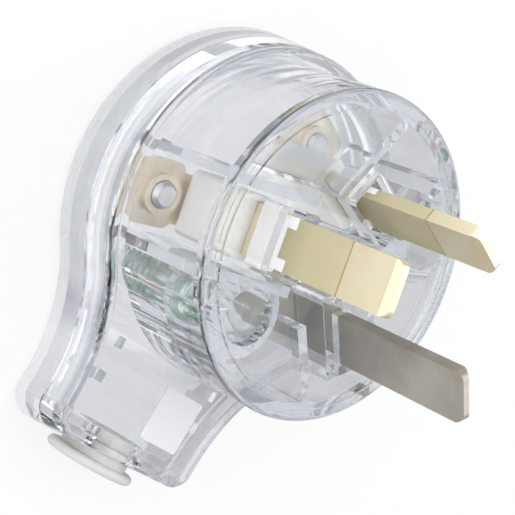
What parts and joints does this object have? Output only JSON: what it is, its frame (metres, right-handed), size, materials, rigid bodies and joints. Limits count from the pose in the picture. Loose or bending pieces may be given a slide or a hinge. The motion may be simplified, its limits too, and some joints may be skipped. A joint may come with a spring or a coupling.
{
  "type": "side-entry plug",
  "caption": "Clear side-entry mains plug with flat pins, sleeved live pins, screwed rear cover, wiring terminals and a cord bush in its tail.",
  "frame": {"origin": "middle of the pin circle on the flat pin face", "axes": "+Z along the pins, away from the body; +Y from the earth pin towards the live pins; the tail points down and left, between -X and -Y"},
  "size_m": [0.0555, 0.0553, 0.0454],
  "materials": {
    "clear_front": "clear moulded polycarbonate, polished",
    "clear_cover": "clear moulded polycarbonate, polished",
    "milky_sleeve": "thin milky insulation that lets the brass show through",
    "milky_block": "milky moulded insulation",
    "brass_pin": "bright rolled brass",
    "brass_clamp": "stamped brass",
    "plated_pin": "nickel plated brass, rolled",
    "terminal_screw": "plated steel",
    "zinc_screw": "zinc plated with a green tint",
    "milky_bush": "milky flexible plastic",
    "white_label": "blank paper label"
  },
  "bodies": {
    "root": {"front_body": "clear_front", "rear_cover": "clear_cover", "active_pin": "brass_pin", "neutral_pin": "brass_pin", "earth_pin": "plated_pin", "active_pin_sleeve": "milky_sleeve", "neutral_pin_sleeve": "milky_sleeve", "active_pin_block": "milky_block", "neutral_pin_block": "milky_block", "active_clamp_plate": "brass_clamp", "neutral_clamp_plate": "brass_clamp", "earth_clamp_plate": "brass_clamp", "active_terminal_screw": "terminal_screw", "neutral_terminal_screw": "terminal_screw", "earth_terminal_screw": "terminal_screw", "left_cover_screw": "zinc_screw", "right_cover_screw": "zinc_screw", "cord_bush": "milky_bush", "blank_label": "white_label"}
  },
  "joints": []
}
